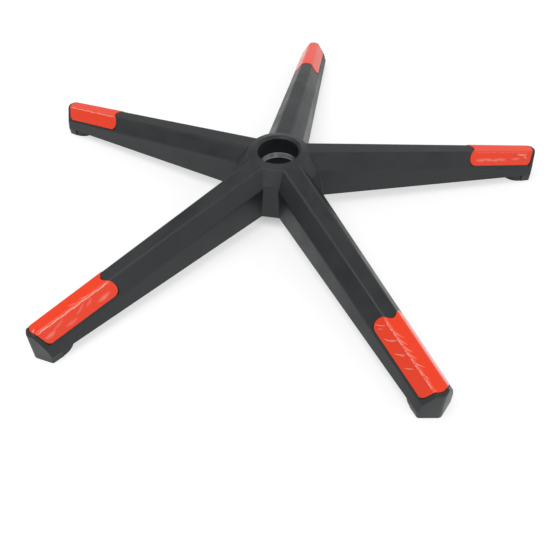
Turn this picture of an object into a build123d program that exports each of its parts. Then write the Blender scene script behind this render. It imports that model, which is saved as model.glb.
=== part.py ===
from build123d import *
import math
import os

os.makedirs("parts", exist_ok=True)

# Driving dimensions in millimetres. Heights count from the plane that the feet stand on.
LEG_COUNT = 5
FIRST_LEG = 90.0  # degrees; one leg points straight back, along +Y
TIP_R = 350.0  # hub axis to the point of a leg's end
ROOT_R = 45.0  # radius of the inner station of a leg's section
HUB_H = 74.9  # height of the hub's rim

# A leg's section: half widths and heights of its lengthwise corners, at the inner station and at the tip.
TOP_W0, TOP_W1 = 10.2, 6.6
CREASE_W0, CREASE_W1 = 23.7, 18.0
FLARE0, FLARE1 = 2.5, 3.2  # the lower walls stand out this far at their foot
TOP_DROP0 = 3.3  # top facet below the rim, at the inner station
TOP_Z1 = 35.7
CREASE_DROP0, CREASE_DROP1 = 16.2, 16.8  # crease below the top facet
BASE_Z0, BASE_Z1 = 17.7, 9.7
CREASE_ROUND = 4.0  # rounding of the four long corners

# Pointed end and foot of a leg.
PROW = 10.0  # the point stands this far out past the end's two corners
NOSE_R = 6.0  # rounding of the point
PROW_DRAFT = 0.13  # the end leans back this much per unit of height
END_ROUND = 2.2  # rounding of the end's upright corners and upper edge
FOOT_IN = 1.2  # the foot's sides lean in this far at the floor
FOOT_LEN = 22.5  # length of the foot, from its point inwards
FOOT_SLOPE = 0.8  # the foot's inner face leans inwards this far
STEM_BACK = 23.0  # the caster stem's axis stands this far in from the point
STEM_R = 5.5
STEM_DEPTH = 27.0
STEM_WALL = 4.0
POCKET = 3.5  # width of the ring-shaped pocket round the stem's wall
POCKET_DEPTH = 15.0
BOSS_WALL = 6.4  # the boss ends up nearly as wide as the foot

# Hub.
LIFT_R = 25.0  # bore for the gas lift
MOUTH = 2.8  # the bore's mouth opens this far, at 45 degrees
LIP_WALL = 1.0  # flat of the rim, outside the mouth
DISC_WALL = 8.2  # the hub's top falls gently over this width, outside the flat
DISC_DROP = 2.4  # its edge lies this far below the rim
DISC_ROUND = 2.0
SLEEVE_DROP = 23.8  # rim to the sleeve's upper face
SLEEVE_LEN = 7.8
SLEEVE_WALL = 3.5
TUBE_WALL = 4.5
HUB_LOW = 17.0  # height of the tube's lower end
WEB_LOW_R = 59.0  # hub axis to the wall between two legs, at the bottom
WEB_HIGH_R = 52.0  # the same at the height of the crease
WEB_CORNER = 4.5  # rounding between that wall and the legs' sides
SADDLE_FALL = 1.02  # fall of the saddle between two legs, per unit of radius
SADDLE_ROUND = 3.0
WEB_SINK = 0.4  # the rounding runs this far into the legs' sides

# Walls and ribs of the open underside.
WALL = 4.2
RIB = 3.0
RIB_UP = 3.0  # ribs stop this far above the walls' lower edge
RIB_COUNT = 4  # cross ribs between the hub and the cover's seat

# Trim covers.
COVER_IN = 101.6  # the cover's hub end lies this far in from the point of the leg
COVER_OUT = 10.0  # its outer end lies this far in from the point
COVER_WAVE = 8.2  # depth of the notch in its hub end
COVER_LOBE = 0.76  # the lobes beside the notch stand at this share of the half width
LOBE_CORNER = 6.5  # length of the rounded corner outside a lobe
NOSE_SOFT = 0.25  # rounding of the outer end's point, as a share of the half width
NOSE_EDGE = 0.8  # the outer end's corners begin at this share of the half width
NOSE_CORNER = 2.6  # length of the outer end's rounded corners
COVER_LOW = 0.17  # its lower edge lies this part of the way up the sloped facet
COVER_T = 2.2
COVER_PROUD = 0.6
COVER_GAP = 0.5  # gap all round the cover, in its seat
HOOK_IN = 15.0  # first clip hook, from the cover's hub end
HOOK_PITCH = 37.0
HOOK_W = 7.0
HOOK_T = 1.8
HOOK_CATCH = 1.0
HOOK_LEN = 4.5  # the hook reaches this far below the leg's top wall
HOOK_CLEAR = 0.3

# What follows from them.
STEP = 360.0 / LEG_COUNT
HALF = math.radians(STEP / 2)
TOP_Z0 = HUB_H - TOP_DROP0
CREASE_Z0, CREASE_Z1 = TOP_Z0 - CREASE_DROP0, TOP_Z1 - CREASE_DROP1
BASE_W0, BASE_W1 = CREASE_W0 + FLARE0, CREASE_W1 + FLARE1
FOOT_W = BASE_W1 - FOOT_IN
SLANT = PROW / FOOT_W
POCKET_IN_R = STEM_R + STEM_WALL
POCKET_OUT_R = POCKET_IN_R + POCKET
BOSS_R = POCKET_OUT_R + BOSS_WALL
STEM_AT = TIP_R - STEM_BACK
LIP_R = LIFT_R + MOUTH + LIP_WALL
DISC_R = LIP_R + DISC_WALL
DISC_Z = HUB_H - DISC_DROP
COUNTER_R = LIFT_R + SLEEVE_WALL
TUBE_R = COUNTER_R + TUBE_WALL
SLEEVE_TOP = HUB_H - SLEEVE_DROP
SEAT = COVER_T - COVER_PROUD
COVER_R = TIP_R - COVER_IN
HOOK_R = [COVER_R + HOOK_IN, COVER_R + HOOK_IN + HOOK_PITCH]
OVER = 5.0  # cutting bodies run this far past what they cut
END_POINTS = 10  # points of the curve on each half of a cover's end
REACH = TIP_R + 2 * OVER
HIGH = HUB_H + 4 * OVER
WIDE = 2 * BASE_W0


def along(a, b, r):
    """A value that runs evenly from a at the inner station to b at the tip."""
    return a + (b - a) * (r - ROOT_R) / (TIP_R - ROOT_R)


def corners(r, inset=0.0, low=None):
    """Top, crease and lower corner (half width, height) of a leg's section at radius r, moved in by inset."""
    top = (along(TOP_W0, TOP_W1, r), along(TOP_Z0, TOP_Z1, r))
    crease = (along(CREASE_W0, CREASE_W1, r), along(CREASE_Z0, CREASE_Z1, r))
    base = (along(BASE_W0, BASE_W1, r), along(BASE_Z0, BASE_Z1, r))

    def moved(p, q):
        length = math.hypot(q[0] - p[0], q[1] - p[1])
        d = ((q[0] - p[0]) / length, (q[1] - p[1]) / length)
        return (p[0] + d[1] * inset, p[1] - d[0] * inset), d

    s, ds = moved(top, crease)
    v, dv = moved(crease, base)
    z_top = top[1] - inset
    top_in = (s[0] + (z_top - s[1]) * ds[0] / ds[1], z_top)
    k = ((v[0] - s[0]) * dv[1] - (v[1] - s[1]) * dv[0]) / (ds[0] * dv[1] - ds[1] * dv[0])
    crease_in = (s[0] + k * ds[0], s[1] + k * ds[1])
    z_low = base[1] if low is None else low
    base_in = (v[0] + (z_low - v[1]) * dv[0] / dv[1], z_low)
    return top_in, crease_in, base_in


def beam(r0, r1, inset=0.0, low=None):
    """A leg's hexagonal bar from radius r0 to r1 along +X, its outline moved in by inset."""
    wires = []
    for r in (r0, r1):
        half = corners(r, inset, low)
        right = [Vector(r, w, z) for w, z in half]
        left = [Vector(r, -w, z) for w, z in half]
        wires.append(Wire.make_polygon(right + left[::-1], close=True))
    return Solid.make_loft(wires, ruled=True)


def chain(points):
    """Straight edges from point to point."""
    return [Edge.make_line(p, q) for p, q in zip(points[:-1], points[1:])]


def prism(points, z0, z1):
    """A straight prism over a plan polygon."""
    face = Face(Wire.make_polygon([Vector(x, y, z0) for x, y in points], close=True))
    return Solid.extrude(face, Vector(0, 0, z1 - z0))


def slab(points, half_width):
    """A plate of the given half width across the leg, with its outline in the X-Z plane."""
    face = Face(Wire.make_polygon([Vector(x, -half_width, z) for x, z in points], close=True))
    return Solid.extrude(face, Vector(0, 2 * half_width, 0))


def turned(points):
    """A body turned round the hub's axis, with its outline given as radius and height."""
    face = Face(Wire.make_polygon([Vector(x, 0, z) for x, z in points], close=True))
    return Solid.revolve(face, 360.0, Axis.Z)


def post(x, radius, z0, z1):
    """A round post standing at distance x from the hub's axis."""
    return Solid.make_cylinder(radius, z1 - z0, Plane((x, 0, z0)))


def one(shape):
    """The largest solid of a result."""
    return max(shape.solids(), key=lambda s: s.volume)


def long_edges(solid, length):
    """Edges at least this long that run along the leg."""
    return [e for e in solid.edges() if e.length > length and abs(e.tangent_at(0.5).X) > 0.95]


def saddle(r):
    """Height of the saddle between two legs."""
    return DISC_Z - SADDLE_FALL * (r - DISC_R)


# Outer form of one leg: the bar with its four upper corners rounded, the foot under its end with the
# caster's boss, and the two end faces that meet in a rounded point and lean back with height.
def foot_ring(x_in, inner, outer):
    """A four-cornered ring across the leg, with half width and height at its inner and its outer end."""
    right = [Vector(x_in, -inner[0], inner[1]), Vector(REACH, -outer[0], outer[1])]
    left = [Vector(REACH, outer[0], outer[1]), Vector(x_in, inner[0], inner[1])]
    return Wire.make_polygon(right + left, close=True)


def prow_ring(z):
    lean = math.hypot(1.0, SLANT)
    x_tip = TIP_R - PROW_DRAFT * z
    x_nose = x_tip - NOSE_R * lean
    x_side = x_tip - SLANT * WIDE
    x_touch, y_touch = x_nose + NOSE_R / lean, NOSE_R * SLANT / lean
    a, b = Vector(x_touch, y_touch, z), Vector(x_touch, -y_touch, z)
    nose = Edge.make_three_point_arc(b, Vector(x_nose + NOSE_R, 0, z), a)
    back = [Vector(-WIDE, WIDE, z), Vector(-WIDE, -WIDE, z)]
    return Wire([nose] + chain([a, Vector(x_side, WIDE, z)] + back + [Vector(x_side, -WIDE, z), b]))


bar = beam(0.0, REACH)
middle_z = along(BASE_Z0, BASE_Z1, TIP_R / 2) + CREASE_ROUND
bar = bar.fillet(CREASE_ROUND, [e for e in long_edges(bar, TIP_R) if e.center().Z > middle_z])
foot_r = TIP_R - FOOT_LEN
foot_low = foot_ring(foot_r, (FOOT_W, 0.0), (FOOT_W, 0.0))
foot_high = foot_ring(foot_r - FOOT_SLOPE, corners(foot_r - FOOT_SLOPE)[2], corners(REACH)[2])
foot = Solid.make_loft([foot_low, foot_high], ruled=True)
boss = post(STEM_AT, BOSS_R, 0.0, BASE_Z1 + OVER)
leg = bar.fuse(foot, boss)
leg = one(leg.intersect(Solid.make_loft([prow_ring(-OVER), prow_ring(HIGH)], ruled=True)))
upright = []
for edge in leg.edges():
    box = edge.bounding_box()
    at_end = box.min.X > foot_r + PROW / 2 and box.max.Z < CREASE_Z1 + CREASE_ROUND
    if at_end and edge.length > BASE_Z1 / 2 and abs(edge.center().Y) > FOOT_W - FOOT_IN:
        if abs(edge.tangent_at(0.5).Z) > 0.7:
            upright.append(edge)
leg = leg.fillet(END_ROUND, upright)  # the rounding runs on round the upper edge


# Trim cover: a shell over the top and the two sloped facets, cut to its plan and to its lower edge.
def cover_half_width(r):
    top, crease, _ = corners(r, -COVER_PROUD)
    return crease[0] * (1 - COVER_LOW) + top[0] * COVER_LOW


def corner(f, start):
    """How far an end turns back at the share f of its half width: a quarter of an ellipse from start on."""
    past = max(0.0, f - start) / (1 - start)
    return 1 - math.sqrt(1 - min(1.0, past) ** 2)


def notch(f):
    """Distance of the hub end from its lobes: a cosine notch in the middle and a rounded corner outside."""
    wave = (1 + math.cos(math.pi * min(1.0, f / COVER_LOBE))) / 2
    return COVER_WAVE * wave + LOBE_CORNER * corner(f, COVER_LOBE)


def nose(f, width):
    """Distance of the outer end from its point: it follows the leg's end, with a soft point and corners."""
    return SLANT * width * (math.hypot(f, NOSE_SOFT) - NOSE_SOFT) + NOSE_CORNER * corner(f, NOSE_EDGE)


def cover_plan(gap):
    """Plan of the cover, grown by gap."""
    r_in, r_out = COVER_R - gap, TIP_R - COVER_OUT + gap
    w_in, w_out = cover_half_width(COVER_R) + gap, cover_half_width(r_out) + gap
    turns = [math.pi / 2 * i / END_POINTS for i in range(-END_POINTS, END_POINTS + 1)]
    hub_end = [Vector(r_in + notch(abs(math.sin(t))), -w_in * math.sin(t), 0) for t in turns]
    outer_end = [Vector(r_out - nose(abs(math.sin(t)), w_out), w_out * math.sin(t), 0) for t in turns]
    x0, x1 = hub_end[0].X + OVER, outer_end[0].X - OVER
    right = [hub_end[-1], Vector(x0, -WIDE, 0), Vector(x1, -WIDE, 0), outer_end[0]]
    left = [outer_end[-1], Vector(x1, WIDE, 0), Vector(x0, WIDE, 0), hub_end[0]]
    outline = [Edge.make_spline(hub_end), Edge.make_spline(outer_end)] + chain(right) + chain(left)
    return Solid.extrude(Face(Wire(outline)), Vector(0, 0, HIGH))


def above_edge(drop):
    """Everything above the cover's sloping lower edge."""
    low = []
    for r in (COVER_R - COVER_IN, REACH):
        top, crease, _ = corners(r)
        low.append((r, crease[1] * (1 - COVER_LOW) + top[1] * COVER_LOW - drop))
    return slab(low + [(REACH, HIGH), (COVER_R - COVER_IN, HIGH)], WIDE)


def cover_shell(outer, gap):
    """What lies between an outer bar and the seat, within the cover's outline grown by gap."""
    shell = one(outer.cut(beam(COVER_R - COVER_IN, REACH, SEAT)))
    shell = one(shell.intersect(cover_plan(gap)))
    return one(shell.intersect(above_edge(gap)))


skin = beam(COVER_R - COVER_IN, REACH, -COVER_PROUD)
crest_z = along(CREASE_Z0, CREASE_Z1, COVER_R) + CREASE_ROUND
skin = skin.fillet(CREASE_ROUND, [e for e in long_edges(skin, COVER_IN) if e.center().Z > crest_z])
cover = cover_shell(skin, 0.0)
leg = one(leg.cut(cover_shell(beam(COVER_R - COVER_IN, REACH, -2 * COVER_T), COVER_GAP)))


# Clip hooks: each goes down through a slot in the leg's top wall and catches under it.
def under(r):
    return along(TOP_Z0, TOP_Z1, r) - WALL


for r in HOOK_R:
    r0, r1 = r - HOOK_T / 2, r + HOOK_T / 2
    r2 = r1 + HOOK_CLEAR + HOOK_CATCH
    catch = under(r2) - HOOK_CLEAR
    low = under(r1) - HOOK_LEN
    high = along(TOP_Z0, TOP_Z1, r) - COVER_T / 2
    barb = [(r1, catch), (r2, catch), (r2, catch - HOOK_CATCH / 2), (r1, low)]
    hook = slab([(r0, high), (r1, high)] + barb + [(r0, low)], HOOK_W / 2)
    cover = one(cover.fuse(hook))
    s0, s1 = r0 - HOOK_CLEAR, r1 + HOOK_CLEAR
    slot_low = under(s0) - WALL
    slot = slab([(s0, slot_low), (s1, slot_low), (s1, HIGH), (s0, HIGH)], HOOK_W / 2 + HOOK_CLEAR)
    leg = one(leg.cut(slot))

# Stem socket, and the ring-shaped pocket round it, crossed by four spokes.
socket = post(STEM_AT, STEM_R, -OVER, STEM_DEPTH)
pocket = post(STEM_AT, POCKET_OUT_R, -OVER, POCKET_DEPTH).cut(post(STEM_AT, POCKET_IN_R, -2 * OVER, HIGH))
spoke_end = [(BOSS_R, -RIB / 2), (BOSS_R, RIB / 2)]
spoke = prism(spoke_end + [(-x, -y) for x, y in spoke_end], -2 * OVER, HIGH)
spokes = [spoke.rotate(Axis.Z, a).translate(Vector(STEM_AT, 0, 0)) for a in (45.0, 135.0)]
leg = one(leg.cut(socket, *pocket.cut(*spokes).solids()))


# Hub: a low dome round the bore, the tube below it, and a flat wall between neighbouring legs whose
# top rises to the dome as a saddle. One leg's share of it is made here and turned round the axis at the end.
def web_ring(z):
    """Plan of the filling between two legs at +-HALF: a straight wall with rounded ends in their sides."""
    k = (z - BASE_Z0) / (CREASE_Z0 - BASE_Z0)
    w = along(BASE_W0, BASE_W1, WEB_HIGH_R) * (1 - k) + along(CREASE_W0, CREASE_W1, WEB_HIGH_R) * k - WEB_SINK
    x = WEB_LOW_R * (1 - k) + WEB_HIGH_R * k
    c, s = math.cos(HALF), math.sin(HALF)
    y = ((x + WEB_CORNER) * s - w - WEB_CORNER) / c
    bend = (math.pi / 2 - HALF) / 2
    ends = []
    for m in (1, -1):
        middle = Vector(x + WEB_CORNER * (1 - math.cos(bend)), m * (y + WEB_CORNER * math.sin(bend)), z)
        on_side = Vector(x + WEB_CORNER * (1 - s), m * (y + WEB_CORNER * c), z)
        ends.append((Vector(x, m * y, z), middle, on_side, Vector(x * c * c, m * x * c * s, z)))
    (wall_a, mid_a, side_a, leg_a), (wall_b, mid_b, side_b, leg_b) = ends
    rounds = [Edge.make_three_point_arc(*p) for p in ((side_a, mid_a, wall_a), (wall_b, mid_b, side_b))]
    return Wire(rounds + chain([wall_a, wall_b]) + chain([side_b, leg_b, Vector(0, 0, z), leg_a, side_a]))


web_low = along(BASE_Z0, BASE_Z1, WEB_LOW_R)
web = Solid.make_loft([web_ring(web_low), web_ring(HUB_H)], ruled=True)
cone_r = 2 * WEB_LOW_R
dome_top = [(cone_r, saddle(cone_r)), (DISC_R, DISC_Z), (LIP_R, HUB_H), (0, HUB_H)]
dome = turned([(0, -OVER), (cone_r, -OVER)] + dome_top)
dome = dome.fillet(DISC_ROUND, [e for e in dome.edges() if abs(e.center().Z - DISC_Z) < DISC_DROP / 4])
web = one(web.intersect(dome))
arch = [e for e in web.edges() if e.center().Z > (BASE_Z0 + CREASE_Z0) / 2
        and abs(e.center().Y) < 1.0 and e.center().X > DISC_R + SADDLE_ROUND]
web = web.fillet(SADDLE_ROUND, arch)
disc = one(dome.intersect(post(0, DISC_R, CREASE_Z0, HIGH)))
tube = post(0, TUBE_R, HUB_LOW, DISC_Z - WALL)
webs = [web.rotate(Axis.Z, a) for a in (STEP / 2, -STEP / 2)]
side_y = REACH * math.tan(HALF)
sector = prism([(0, 0), (REACH, -side_y), (REACH, side_y)], -OVER, HIGH)
share = one(leg.fuse(disc, tube, *webs).intersect(sector))

# Open underside: the inside of the bar, a ring round the hub's tube, then the ribs that stay.
ring_r = BASE_W0 / math.sin(HALF)
roof_drop = WALL * math.hypot(1.0, SADDLE_FALL)
roof = [(ring_r, saddle(ring_r) - roof_drop), (TUBE_R, DISC_Z - roof_drop)]
ring = turned([(TUBE_R, -OVER), (ring_r, -OVER)] + roof)
inside = beam(TUBE_R - WALL, STEM_AT, WALL, -OVER).fuse(ring)
inside = one(inside.cut(post(0, TUBE_R, -2 * OVER, HIGH), post(STEM_AT, BOSS_R, -2 * OVER, HIGH)))


def rib_low(r):
    return along(BASE_Z0, BASE_Z1, r) + RIB_UP


cross_r = [TUBE_R + (COVER_R - TUBE_R) * (i + 1) / RIB_COUNT for i in range(RIB_COUNT)]
spine = [(LIFT_R, rib_low(LIFT_R)), (COVER_R, rib_low(COVER_R)), (COVER_R, HIGH), (LIFT_R, HIGH)]
ribs = [slab(spine, RIB / 2)]
for r in cross_r + [sum(HOOK_R) / 2]:
    r0, r1 = r - RIB / 2, r + RIB / 2
    ribs.append(slab([(r0, rib_low(r)), (r1, rib_low(r)), (r1, HIGH), (r0, HIGH)], WIDE))
for room in inside.cut(*ribs).solids():
    share = one(share.cut(room))

# Bore, with a counterbore below it for the sleeve.
mouth_z = HUB_H - MOUTH
mouth_r = LIFT_R + MOUTH
bore = turned([(0, -OVER), (LIFT_R, -OVER), (LIFT_R, mouth_z), (mouth_r, HUB_H), (mouth_r, HIGH), (0, HIGH)])
counter = post(0, COUNTER_R, -OVER, SLEEVE_TOP)
share = one(share.cut(bore, counter))

# The whole star, its sleeve and its covers. The origin is on the bore's axis, in the plane of the rim.
angles = [FIRST_LEG + STEP * i for i in range(LEG_COUNT)]
shares = [share.rotate(Axis.Z, a) for a in angles]
star = one(shares[0].fuse(*shares[1:]))
sleeve = one(post(0, COUNTER_R, SLEEVE_TOP - SLEEVE_LEN, SLEEVE_TOP).cut(post(0, LIFT_R, 0.0, HIGH)))

to_rim = Vector(0, 0, -HUB_H)
export_step(star.translate(to_rim), "parts/star_base.step")
export_step(sleeve.translate(to_rim), "parts/lift_sleeve.step")
for i, a in enumerate(angles):
    export_step(cover.rotate(Axis.Z, a).translate(to_rim), f"parts/trim_cover_{i + 1}.step")
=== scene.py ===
import bpy
import numpy as np
from mathutils import Matrix, Vector


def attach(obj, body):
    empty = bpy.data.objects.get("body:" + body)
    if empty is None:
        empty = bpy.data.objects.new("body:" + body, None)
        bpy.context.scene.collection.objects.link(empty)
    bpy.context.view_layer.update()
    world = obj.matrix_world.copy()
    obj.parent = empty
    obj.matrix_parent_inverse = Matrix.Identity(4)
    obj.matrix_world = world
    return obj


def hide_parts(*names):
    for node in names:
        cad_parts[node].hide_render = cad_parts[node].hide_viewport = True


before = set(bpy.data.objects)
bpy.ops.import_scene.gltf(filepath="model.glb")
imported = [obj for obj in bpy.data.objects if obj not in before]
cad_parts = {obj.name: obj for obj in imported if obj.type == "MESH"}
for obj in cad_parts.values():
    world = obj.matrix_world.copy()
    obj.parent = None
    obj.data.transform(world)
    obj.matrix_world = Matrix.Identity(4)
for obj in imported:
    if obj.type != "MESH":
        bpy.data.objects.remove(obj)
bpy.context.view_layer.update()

# Moulded star: hub, five tapered legs and their feet in one shot of dark filled nylon. The mould leaves
# a fine satin grain, and handling leaves faint hazy patches that are a little duller than the rest.
NYLON_DARK = (0.0085, 0.0097, 0.0104, 1.0)
NYLON_HAZE = (0.020, 0.0213, 0.0215, 1.0)
NYLON_PATCH = 0.045
NYLON_GLOSS = (0.37, 0.57)
NYLON_SPECULAR = 0.48
NYLON_SHEEN = (0.94, 1.0, 1.03, 1.0)
NYLON_GRAIN = {"pitch": 0.0007, "strength": 0.25, "depth": 0.0002}
HAZE_SPAN = (0.35, 0.68)


def add(tree, kind, inputs=None, **settings):
    """Adds a node, sets its settings, and fills its inputs with plain values or links to other sockets."""
    made = tree.nodes.new(kind)
    for name, value in settings.items():
        setattr(made, name, value)
    for name, value in (inputs or {}).items():
        if isinstance(value, bpy.types.NodeSocket):
            tree.links.new(value, made.inputs[name])
        else:
            made.inputs[name].default_value = value
    return made


def mixed(tree, share, low, high):
    """The colour that runs from low to high as share runs from 0 to 1."""
    return add(tree, "ShaderNodeMix", {0: share, 6: low, 7: high}, data_type="RGBA").outputs[2]


def spread(tree, value, low, high, to_low=0.0, to_high=1.0):
    """The value, moved evenly from the range low..high to the range to_low..to_high, and held there."""
    ends = {"Value": value, "From Min": low, "From Max": high, "To Min": to_low, "To Max": to_high}
    return add(tree, "ShaderNodeMapRange", ends).outputs["Result"]


def lumps(tree, place, size, detail, roughness):
    """Noise in lumps of about the given size, so that its scale is one over that size."""
    scale = add(tree, "ShaderNodeMath", {0: 1.0, 1: size}, operation="DIVIDE").outputs[0]
    look = {"Vector": place, "Scale": scale, "Detail": detail, "Roughness": roughness}
    return add(tree, "ShaderNodeTexNoise", look).outputs["Fac"]


def open_group(name, size_name, out_name):
    """An empty shader group with a vector and a size going in and one value coming out."""
    tree = bpy.data.node_groups.new(name, "ShaderNodeTree")
    tree.interface.new_socket("Vector", in_out="INPUT", socket_type="NodeSocketVector")
    tree.interface.new_socket(size_name, in_out="INPUT", socket_type="NodeSocketFloat")
    tree.interface.new_socket(out_name, in_out="OUTPUT", socket_type="NodeSocketFloat")
    return tree, add(tree, "NodeGroupInput").outputs, add(tree, "NodeGroupOutput").inputs


def open_material(name):
    """An empty material, its node tree, and the socket with the piece's own coordinates."""
    made = bpy.data.materials.new(name)
    made.use_nodes = True
    made.node_tree.nodes.clear()
    return made, made.node_tree, add(made.node_tree, "ShaderNodeTexCoord").outputs["Object"]


def close_material(tree, shader):
    """Joins the shader to the material's output."""
    add(tree, "ShaderNodeOutputMaterial", {"Surface": shader.outputs[0]})


def dress(node, made):
    """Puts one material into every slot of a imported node."""
    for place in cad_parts[node].material_slots:
        place.material = made


# Handling haze: soft cloudy patches of the given size, from 0 to 1.
haze, haze_in, haze_out = open_group("handling_haze", "Size", "Haze")
haze_cloud = lumps(haze, haze_in["Vector"], haze_in["Size"], detail=4.0, roughness=0.55)
haze.links.new(spread(haze, haze_cloud, *HAZE_SPAN), haze_out["Haze"])

# Moulded grain: an even fine roughness of the given pitch, as a height from 0 to 1.
grain, grain_in, grain_out = open_group("moulded_grain", "Pitch", "Height")
grain_height = lumps(grain, grain_in["Vector"], grain_in["Pitch"], detail=2.0, roughness=0.6)
grain.links.new(grain_height, grain_out["Height"])


def patchy(tree, place, size):
    """The handling haze of a surface, from 0 to 1, in patches of the given size."""
    return add(tree, "ShaderNodeGroup", {"Vector": place, "Size": size}, node_tree=haze).outputs["Haze"]


def relief(tree, place, pitch, strength, depth):
    """The normal of a surface that the moulded grain of the given pitch raises by up to the given depth."""
    raised = add(tree, "ShaderNodeGroup", {"Vector": place, "Pitch": pitch}, node_tree=grain)
    look = {"Height": raised.outputs["Height"], "Strength": strength, "Distance": depth}
    return add(tree, "ShaderNodeBump", look).outputs["Normal"]


nylon, tree, place = open_material("moulded_nylon")
patches = patchy(tree, place, NYLON_PATCH)
close_material(tree, add(tree, "ShaderNodeBsdfPrincipled", {
    "Base Color": mixed(tree, patches, NYLON_DARK, NYLON_HAZE),
    "Roughness": spread(tree, patches, 0.0, 1.0, *NYLON_GLOSS),
    "Specular IOR Level": NYLON_SPECULAR,
    "Specular Tint": NYLON_SHEEN,
    "Normal": relief(tree, place, **NYLON_GRAIN)}))
dress("star_base", nylon)


# Lift sleeve: a short ring of bare steel, turned and pressed into the hub from below. The tool leaves
# fine rings round its bore, the metal is a little stained, and its two edges carry a painted highlight.
STEEL = (0.62, 0.64, 0.68, 1.0)
STEEL_STAIN = (0.34, 0.34, 0.35, 1.0)
STEEL_EDGE_HIGHLIGHT = (0.96, 0.97, 1.0, 1.0)
STEEL_PATCH = 0.012
STEEL_GLOSS = (0.28, 0.46)
UPPER_EDGE, LOWER_EDGE = (-0.0250, -0.0244), (-0.0309, -0.0314)
RING_FLATTEN = (0.02, 0.02, 1.0)
RING_GRAIN = {"pitch": 0.0004, "strength": 0.4, "depth": 0.0001}

steel, tree, place = open_material("sleeve_metal")
patches = patchy(tree, place, STEEL_PATCH)
flattened = add(tree, "ShaderNodeMapping", {"Vector": place, "Scale": RING_FLATTEN}).outputs["Vector"]
height = add(tree, "ShaderNodeSeparateXYZ", {"Vector": place}).outputs["Z"]
# Painted highlight: a bright band along the sleeve's upper and lower edge.
at_upper, at_lower = [spread(tree, height, *edge) for edge in (UPPER_EDGE, LOWER_EDGE)]
edge_highlight = add(tree, "ShaderNodeMath", {0: at_upper, 1: at_lower}, operation="MAXIMUM").outputs[0]
stained = mixed(tree, patches, STEEL, STEEL_STAIN)
close_material(tree, add(tree, "ShaderNodeBsdfPrincipled", {
    "Base Color": mixed(tree, edge_highlight, stained, STEEL_EDGE_HIGHLIGHT),
    "Metallic": 1.0,
    "Roughness": spread(tree, patches, 0.0, 1.0, *STEEL_GLOSS),
    "Normal": relief(tree, flattened, **RING_GRAIN)}))
dress("lift_sleeve", steel)


# Trim covers: thin glossy red-orange mouldings, one over each leg's end, still under a clear film that has
# lifted in fine wrinkles. Each follows the leg's top and sloped facets and clips in with two hooks.
# Sizes are in millimetres, above the floor and from the hub's axis; pairs run from a leg's root to its tip.
MM = 0.001
HUB_H = 74.9
ROOT_R, TIP_R = 45.0, 350.0
TOP_W, CREASE_W = (10.2, 6.6), (23.7, 18.0)
TOP_Z, CREASE_Z = (71.6, 35.7), (55.4, 18.9)
COVER_R, OUTER_R = 248.4, 340.0
HUB_END_W, OUTER_END_W = 18.37, 16.74
COVER_PROUD, COVER_T, COVER_LOW = 0.6, 2.15, 0.17
RIDGE_ROUND, EDGE_ROUND = 4.0, 0.7
WAVE, LOBE, LOBE_CORNER = 8.2, 0.76, 6.5
NOSE_SLANT, NOSE_SOFT, NOSE_EDGE, NOSE_CORNER = 0.5, 0.25, 0.8, 2.6
SETTLE_TURNS = 8
LEG_ANGLES = {f"trim_cover_{k + 1}": (90.0 + 72.0 * k) % 360.0 for k in range(5)}


def along(ends, r):
    """A value that runs evenly from the leg's inner station to its tip."""
    return ends[0] + (ends[1] - ends[0]) * (r - ROOT_R) / (TIP_R - ROOT_R)


def cover_face(r, across):
    """The cover's outer face at radius r: distance from the leg's middle, height, and the normal's share of
    each. Across runs 0..1 over half of the flat top, 1..2 round the ridge's arc and 2..3 down the sloped
    facet, on either side of zero. The last value is the unrolled distance from the ridge, down the slope."""
    side, walk = np.sign(across), np.abs(across)
    top_w, top_z = along(TOP_W, r), along(TOP_Z, r)
    fall, reach = top_z - along(CREASE_Z, r), along(CREASE_W, r) - top_w
    slope = np.arctan2(fall, reach)
    tangent = RIDGE_ROUND * np.tan(slope / 2)
    flat = top_w + COVER_PROUD * np.tan(slope / 2) - tangent
    facet = (fall * (1 - COVER_LOW) + COVER_PROUD) / np.sin(slope) - tangent
    u, v, w = [np.clip(walk - k, 0.0, 1.0) for k in range(3)]
    turn = slope * v
    y = flat * u + RIDGE_ROUND * np.sin(turn) + facet * w * np.cos(slope)
    z = top_z + COVER_PROUD - RIDGE_ROUND * (1 - np.cos(turn)) - facet * w * np.sin(slope)
    from_ridge = flat * (u - 1) + RIDGE_ROUND * (turn - slope / 2) + facet * w
    return side * y, z, side * np.sin(turn), np.cos(turn), from_ridge


def turned_back(f, start):
    """A quarter of an ellipse: 0 up to the share start of a half width, then rising to 1 at its edge."""
    past = np.clip((f - start) / (1 - start), 0.0, 1.0)
    return 1 - np.sqrt(1 - past ** 2)


def hub_edge(f):
    """Radius of the cover's hub end at the share f of its half width: a cosine notch between two lobes."""
    wave = (1 + np.cos(np.pi * np.clip(f / LOBE, 0.0, 1.0))) / 2
    return COVER_R + WAVE * wave + LOBE_CORNER * turned_back(f, LOBE)


def outer_edge(f):
    """Radius of the cover's outer end at the share f of its half width: a soft point with round corners."""
    point = NOSE_SLANT * OUTER_END_W * (np.hypot(f, NOSE_SOFT) - NOSE_SOFT)
    return OUTER_R - point - NOSE_CORNER * turned_back(f, NOSE_EDGE)


def end_curve(edge, half_width, guess, across):
    """Radius of an end along each line of the cover, and how steeply it runs across the leg. The radius and
    the distance from the middle depend on each other, so they are settled in a few turns."""
    r = np.full_like(across, guess)
    for _ in range(SETTLE_TURNS):
        y = cover_face(r, across)[0]
        r = edge(np.clip(np.abs(y) / half_width, 0.0, 1.0))
    return r, np.hypot(1.0, np.gradient(r, y))


def rolled(distance):
    """Drop of the surface near an edge, as a quarter circle of radius EDGE_ROUND."""
    d = np.clip(distance, 0.0, EDGE_ROUND)
    return EDGE_ROUND - np.sqrt(EDGE_ROUND ** 2 - (EDGE_ROUND - d) ** 2)
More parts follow.
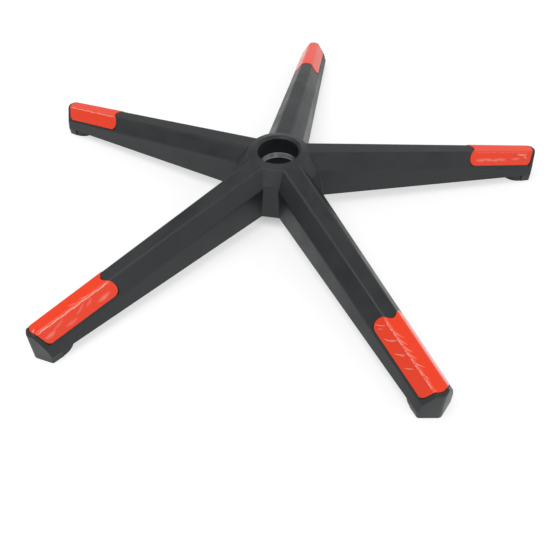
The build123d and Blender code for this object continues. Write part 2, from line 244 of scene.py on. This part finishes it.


# The film: each cover's lifted side, the line along its ridge, and its wrinkles, all listed one by one.
# The same share lifts the surface and paints a pale highlight on it.
FILM_LIFT, FILM_BOW, FILM_TAPER = 0.25, 0.035, 0.6
LINE_FADE = 6.0
WAVER_SLOW, WAVER_QUICK = (0.6, 2.3), (0.35, 0.9, 1.0)
BEAT_LEVEL, BEAT_SLOW, BEAT_DRIFT, BEAT_QUICK = 0.55, (0.35, 1.4), (2.0, 6.1), (0.25, 0.55)
FILM_MARKS = {
    "trim_cover_1": (1, (262.0, 330.0, 6.0, 0.9, 0.25, 0.2), ()),
    "trim_cover_2": (1, (251.0, 339.0, 0.4, 0.44, 1.0, 0.25), (
        (300.0, -0.5, 308.0, -3.0, 0.30, 0.3), (276.0, 0.0, 283.0, -2.5, 0.30, 0.3))),
    "trim_cover_3": (1, (251.0, 339.5, 1.2, 0.42, 1.0, 0.65), (
        (322.0, 9.0, 332.0, 9.8, 1.8, 0.28), (259.0, 10.2, 271.0, 11.5, 1.9, 0.28),
        (276.0, 4.0, 284.0, 8.0, 1.1, 0.18), (298.0, 11.8, 310.0, 12.2, 1.5, 0.16),
        (285.0, 3.5, 296.0, 8.5, 1.1, 0.16), (310.0, 4.0, 322.0, 7.5, 1.1, 0.16),
        (290.0, -1.6, 299.0, -5.4, 0.30, 0.45), (276.0, 0.2, 286.0, -3.8, 0.30, 0.45),
        (336.0, -6.0, 339.0, -4.0, 0.6, 0.7))),
    "trim_cover_4": (-1, (253.0, 339.0, 1.2, 0.34, 1.0, 0.1), (
        (251.0, 12.4, 259.5, 4.2, 0.30, 0.6), (255.5, 13.0, 260.0, 8.5, 0.28, 0.4),
        (267.5, 13.6, 277.3, 5.4, 0.30, 0.7), (272.8, 8.4, 279.0, 1.9, 0.28, 0.6),
        (285.6, 13.0, 294.0, 4.0, 0.30, 0.7), (290.5, 9.0, 294.5, 5.8, 0.28, 0.5),
        (302.0, 12.8, 308.9, 5.2, 0.30, 0.7), (268.5, 0.5, 280.3, -5.2, 0.28, 0.5),
        (275.9, 1.2, 287.0, -3.8, 0.28, 0.6), (287.0, 0.8, 296.1, -4.0, 0.28, 0.6),
        (294.6, 0.8, 303.3, -3.6, 0.28, 0.6), (305.2, 0.8, 313.6, -5.2, 0.28, 0.6),
        (317.3, 0.6, 324.9, -2.4, 0.28, 0.5))),
    "trim_cover_5": (-1, (256.0, 332.0, 0.6, 0.4, 0.25, 0.0), (
        (257.0, 10.5, 270.0, 9.8, 1.5, 0.28), (268.0, 8.8, 280.0, 10.6, 1.5, 0.28),
        (279.0, 11.0, 290.0, 9.4, 1.5, 0.28), (288.0, 9.0, 298.0, 10.4, 1.5, 0.26),
        (308.0, 9.4, 318.0, 8.4, 1.4, 0.22), (316.0, 3.4, 329.0, 4.0, 0.8, 0.6),
        (325.0, 6.0, 329.0, 8.4, 0.8, 0.5))),
}


def wrinkle(r, e, mark):
    """Height share of one wrinkle of the film: a bell across a bowed line, thinning out at both ends.
    A mark is its start and end, each as radius and distance from the ridge, then its width and strength."""
    r0, e0, r1, e1, width, strength = mark
    run = np.hypot(r1 - r0, e1 - e0)
    ahead = ((r - r0) * (r1 - r0) + (e - e0) * (e1 - e0)) / run
    aside = ((e - e0) * (r1 - r0) - (r - r0) * (e1 - e0)) / run
    t = np.clip(ahead / run, 0.0, 1.0)
    gap = np.hypot(ahead - t * run, aside - FILM_BOW * run * 4 * t * (1 - t))
    thin = FILM_TAPER + (1 - FILM_TAPER) * np.sin(np.pi * t)
    return strength * thin * np.exp(-(gap / (width * thin)) ** 2)


def sway(r, height, length, phase=0.0):
    """A sine along the leg, of the given height, with one radian to each length."""
    return height * np.sin(r / length + phase)


def ridge_highlight(r, e, line):
    """Height share of the broken pale line along the ridge, a painted highlight that also lifts the surface a
    little: a narrow bell that wavers from side to side and comes and goes along the leg. A line is its start,
    end, place, width and strength, and the share of it that stays throughout."""
    start, end, place, width, strength, held = line
    waver = width * (sway(r, *WAVER_SLOW) + sway(r, *WAVER_QUICK))
    beat = BEAT_LEVEL + sway(r, *BEAT_SLOW, sway(r, *BEAT_DRIFT)) + sway(r, *BEAT_QUICK)
    fade = np.clip((r - start) / LINE_FADE, 0.0, 1.0) * np.clip((end - r) / LINE_FADE, 0.0, 1.0)
    beat = held + (1 - held) * np.clip(beat, 0.0, 1.0)
    return strength * fade * beat * np.exp(-((e - place - waver) / width) ** 2)


def film_and_highlight_share(r, e, line, marks):
    """Height share of the lifted film, which also sets the painted highlight: at each point the largest of
    the ridge's line and the wrinkles.
    """
    film_and_highlight = ridge_highlight(r, e, line)
    for mark in marks:
        film_and_highlight = np.maximum(film_and_highlight, wrinkle(r, e, mark))
    return film_and_highlight


HOOK_PLACES = (263.4, 300.4)
HOOK_W, HOOK_T, HOOK_REACH, HOOK_CATCH, LEG_WALL = 7.0, 1.8, 4.5, 1.3, 4.2
HOOK_CLEAR, HOOK_TOE, HOOK_CORNERS = 0.3, 0.5, 7


def hook(r):
    """Corners of a clip hook: a stem with a barb that catches under the leg's top wall, its outline in the
    leg's upright plane given twice, once on each side."""
    under = along(TOP_Z, r) - LEG_WALL
    r0, r1, r2 = r - HOOK_T / 2, r + HOOK_T / 2, r + HOOK_T / 2 + HOOK_CATCH
    high, catch, low = under + LEG_WALL - COVER_T / 2, under - HOOK_CLEAR, under - HOOK_REACH
    barb = [(r1, catch), (r2, catch), (r2, catch - HOOK_TOE), (r1, low)]
    outline = np.array([(r0, high), (r1, high)] + barb + [(r0, low)])
    sides = [np.full(HOOK_CORNERS, half) for half in (HOOK_W / 2, -HOOK_W / 2)]
    return np.concatenate([np.stack([outline[:, 0], y, outline[:, 1]], -1) for y in sides])


def hook_faces(first):
    """The hook's two flat sides and the band of quads between them, all facing outwards."""
    left = first + np.arange(HOOK_CORNERS)
    right = left + HOOK_CORNERS
    band = np.stack([left, right, np.roll(right, -1), np.roll(left, -1)], -1)
    return [left.tolist(), right[::-1].tolist()] + band.tolist()


ROWS, FLAT_COLUMNS, RIDGE_COLUMNS, SLOPE_COLUMNS = 361, 20, 12, 56
ROW_EVEN = 0.6
COARSE = 4


def quads(number):
    """The four corners of every cell of a grid of point numbers, facing up where rows run outwards."""
    return np.stack([number[:-1, :-1], number[1:, :-1], number[1:, 1:], number[:-1, 1:]], -1).reshape(-1, 4)


def border(number):
    """The point numbers round a grid's border, in the order that keeps a rim below them facing outwards."""
    return np.concatenate([number[0, :-1], number[:-1, -1], number[-1, :0:-1], number[:0:-1, 0]])


def closed_skin(outer, inner):
    """Points and faces of a closed wall: the outer grid, the coarser inner grid turned over, and a rim of
    flat faces, each from one edge of the inner border up to the COARSE edges of the outer border above it."""
    top = np.arange(outer.size // 3).reshape(outer.shape[:2])
    low = top.size + np.arange(inner.size // 3).reshape(inner.shape[:2])
    loop, under = border(top), border(low)
    starts = COARSE * np.arange(len(under))[:, None]
    above = np.append(loop, loop[0])[starts + np.arange(COARSE + 1)]
    rim = np.column_stack([np.roll(under, -1), under, above])
    points = np.concatenate([outer.reshape(-1, 3), inner.reshape(-1, 3)])
    return points, quads(top).tolist() + quads(low)[:, ::-1].tolist() + rim.tolist()


def cover_mesh(side, line, marks):
    """The cover along +X, with the share of lifted film, which also sets its painted highlight, at each
    point: a grid of rows along the leg, set closer near its ends, and lines across it. The outer face has
    rolled edges and raised wrinkles, and every
    COARSE-th point of the grid is used again, a wall's thickness below, for the inner face."""
    half = np.concatenate([
        np.arange(FLAT_COLUMNS) / FLAT_COLUMNS, 1 + np.arange(RIDGE_COLUMNS) / RIDGE_COLUMNS,
        2 + np.linspace(0, 1, SLOPE_COLUMNS + 1)])
    across = np.concatenate([-half[:0:-1], half])
    r_in, steep_in = end_curve(hub_edge, HUB_END_W, COVER_R, across)
    r_out, steep_out = end_curve(outer_edge, OUTER_END_W, OUTER_R, across)
    x = np.linspace(0, 1, ROWS)[:, None]
    rows = ROW_EVEN * x + (1 - ROW_EVEN) * (0.5 - 0.5 * np.cos(np.pi * x))
    r = r_in + (r_out - r_in) * rows
    y, z, ny, nz, e = cover_face(r, np.broadcast_to(across, r.shape))
    drop = np.maximum(rolled((r - r_in) / steep_in), rolled((r_out - r) / steep_out))
    drop = np.maximum(drop, rolled(e[:, -1:] - e))
    film_and_highlight = np.where(np.sign(across) * side >= 0, film_and_highlight_share(r, e, line, marks), 0.0)
    film_and_highlight = film_and_highlight * (1 - drop / EDGE_ROUND)
    lift = FILM_LIFT * film_and_highlight - drop
    outer = np.stack([r, y + ny * lift, z + nz * lift], -1)
    inner = np.stack([r, y - ny * COVER_T, z - nz * COVER_T], -1)[::COARSE, ::COARSE]
    points, faces = closed_skin(outer, inner)
    for hook_r in HOOK_PLACES:
        faces += hook_faces(len(points))
        points = np.concatenate([points, hook(hook_r)])
    share = np.zeros(len(points), dtype=np.float32)
    share[:film_and_highlight.size] = film_and_highlight.reshape(-1)
    return points, faces, share


# The film's share mixes the red towards a pale colour: a painted highlight along the ridge's line and the
# wrinkles.
TRIM_RED = (0.88, 0.050, 0.012, 1.0)
FILM_HIGHLIGHT = (1.0, 0.62, 0.52, 1.0)
TRIM_PATCH = 0.02
TRIM_GLOSS = (0.16, 0.28)
TRIM_SPECULAR = 0.34
TRIM_COAT, TRIM_COAT_GLOSS = 0.08, 0.06
FILM_WAVES = {"pitch": 0.006, "strength": 0.15, "depth": 0.0006}

gloss, tree, place = open_material("trim_gloss")
film_highlight = add(tree, "ShaderNodeAttribute", attribute_name="film_and_highlight", attribute_type="GEOMETRY").outputs["Fac"]
patches = patchy(tree, place, TRIM_PATCH)
close_material(tree, add(tree, "ShaderNodeBsdfPrincipled", {
    "Base Color": mixed(tree, film_highlight, TRIM_RED, FILM_HIGHLIGHT),
    "Roughness": spread(tree, patches, 0.0, 1.0, *TRIM_GLOSS),
    "Specular IOR Level": TRIM_SPECULAR,
    "Coat Weight": TRIM_COAT,
    "Coat Roughness": TRIM_COAT_GLOSS,
    "Normal": relief(tree, place, **FILM_WAVES)}))

for name, (side, line, marks) in FILM_MARKS.items():
    points, faces, share = cover_mesh(side, line, marks)
    turn = np.radians(LEG_ANGLES[name])
    ahead = points[:, 0] * np.cos(turn) - points[:, 1] * np.sin(turn)
    aside = points[:, 0] * np.sin(turn) + points[:, 1] * np.cos(turn)
    mesh = bpy.data.meshes.new(name + "_skin")
    mesh.from_pydata(np.stack([ahead, aside, points[:, 2] - HUB_H], -1) * MM, [], faces)
    mesh.shade_smooth()
    mesh.attributes.new("film_and_highlight", "FLOAT", "POINT").data.foreach_set("value", share)
    mesh.materials.append(gloss)
    cover = bpy.data.objects.new(name + "_skin", mesh)
    bpy.context.scene.collection.objects.link(cover)
    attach(cover, "root")
    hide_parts(name)


# Studio: a plain white floor under the feet, a white sky that dims towards the upper left and one large soft
# lamp above the front left. Seen directly or in a reflection the floor is white, save under the hub, where
# its glow fades out as a painted shade; it still takes the part's shadow, and from below it is clear, so that
# the underside can be seen.
FLOOR_HALF, FLOOR_DROP = 6.0, 0.0002
FLOOR_GREY = (0.45, 0.45, 0.45, 1.0)
FLOOR_GLOW = 0.62
HUB_SHADE = (0.015, 0.06)
SKY_WHITE = (1.0, 1.0, 1.0, 1.0)
SKY_AXIS = (-0.45, 0.0, 0.89)
SKY_SPAN, SKY_LEVELS = (0.2, 0.7), (1.0, 0.45)
LAMP_PLACE = Vector((-0.5, -0.45, 1.9))
LAMP_SIZE, LAMP_POWER = 1.6, 21.0


def seen_directly(tree):
    """1 for rays that come from the camera, a reflection or a clear body, and 0 for the rest."""
    ray = add(tree, "ShaderNodeLightPath").outputs
    seen = ray["Is Camera Ray"]
    for kind in ("Is Glossy Ray", "Is Transmission Ray"):
        seen = add(tree, "ShaderNodeMath", {0: seen, 1: ray[kind]}, operation="MAXIMUM").outputs[0]
    return seen


floor_mesh = bpy.data.meshes.new("studio_floor")
floor_z = -HUB_H * MM - FLOOR_DROP
floor_signs = ((-1, -1), (1, -1), (1, 1), (-1, 1))
floor_corners = [(sx * FLOOR_HALF, sy * FLOOR_HALF, floor_z) for sx, sy in floor_signs]
floor_mesh.from_pydata(floor_corners, [], [(0, 1, 2, 3)])
floor = bpy.data.objects.new("studio_floor", floor_mesh)
bpy.context.scene.collection.objects.link(floor)
paper, tree, place = open_material("floor_paper")
paint = add(tree, "ShaderNodeBsdfDiffuse", {"Color": FLOOR_GREY})
from_axis = add(tree, "ShaderNodeVectorMath", {0: place, 1: (1.0, 1.0, 0.0)}, operation="MULTIPLY")
reach = add(tree, "ShaderNodeVectorMath", {0: from_axis.outputs["Vector"]}, operation="LENGTH")
# The glow fades out under the hub: a painted shade on the floor there.
glow_level = spread(tree, reach.outputs["Value"], *HUB_SHADE, 0.0, FLOOR_GLOW)
glow_share = add(tree, "ShaderNodeMath", {0: seen_directly(tree), 1: glow_level}, operation="MULTIPLY")
glow = add(tree, "ShaderNodeEmission", {"Strength": glow_share.outputs[0]})
upper = add(tree, "ShaderNodeAddShader", {0: paint.outputs[0], 1: glow.outputs[0]})
below = add(tree, "ShaderNodeNewGeometry").outputs["Backfacing"]
clear = add(tree, "ShaderNodeBsdfTransparent")
close_material(tree, add(tree, "ShaderNodeMixShader", {0: below, 1: upper.outputs[0], 2: clear.outputs[0]}))
floor_mesh.materials.append(paper)

sky = bpy.data.worlds.new("studio_sky")
sky.use_nodes = True
sky.node_tree.nodes.clear()
gaze = add(sky.node_tree, "ShaderNodeTexCoord").outputs["Generated"]
towards = add(sky.node_tree, "ShaderNodeVectorMath", {0: gaze, 1: SKY_AXIS}, operation="DOT_PRODUCT")
sky_level = spread(sky.node_tree, towards.outputs["Value"], *SKY_SPAN, *SKY_LEVELS)
sky_light = add(sky.node_tree, "ShaderNodeBackground", {"Color": SKY_WHITE, "Strength": sky_level})
add(sky.node_tree, "ShaderNodeOutputWorld", {"Surface": sky_light.outputs[0]})
bpy.context.scene.world = sky

lamp_data = bpy.data.lights.new("soft_lamp", "AREA")
lamp_data.size = LAMP_SIZE
lamp_data.energy = LAMP_POWER
lamp = bpy.data.objects.new("soft_lamp", lamp_data)
lamp_turn = LAMP_PLACE.to_track_quat("Z", "Y").to_matrix().to_4x4()
lamp.matrix_world = Matrix.Translation(LAMP_PLACE) @ lamp_turn
bpy.context.scene.collection.objects.link(lamp)


# Camera: the photograph's own place and lens, looking down on the front of the part. Its three axes and its
# place are the columns of its matrix, and the small shift is what the photograph's framing needs.
CAMERA_PLACE = (0.09821, -0.51862, 0.39814)
CAMERA_RIGHT = (0.986847, 0.16166, -0.000343)
CAMERA_UP = (-0.125283, 0.766124, 0.630364)
CAMERA_BACK = (0.102167, -0.622029, 0.7763)
LENS, SENSOR, SHIFT = 34.0, 36.0, -0.01578
NEAR_CLIP = 0.01

camera_data = bpy.data.cameras.new("photo_camera")
camera_data.sensor_width = SENSOR
camera_data.lens = LENS
camera_data.shift_x = SHIFT
camera_data.clip_start = NEAR_CLIP
camera = bpy.data.objects.new("photo_camera", camera_data)
columns = (CAMERA_RIGHT, CAMERA_UP, CAMERA_BACK, CAMERA_PLACE)
camera.matrix_world = Matrix([[column[i] for column in columns] for i in range(3)] + [[0, 0, 0, 1]])
bpy.context.scene.collection.objects.link(camera)
bpy.context.scene.camera = camera
bpy.context.scene.view_settings.view_transform = "Standard"
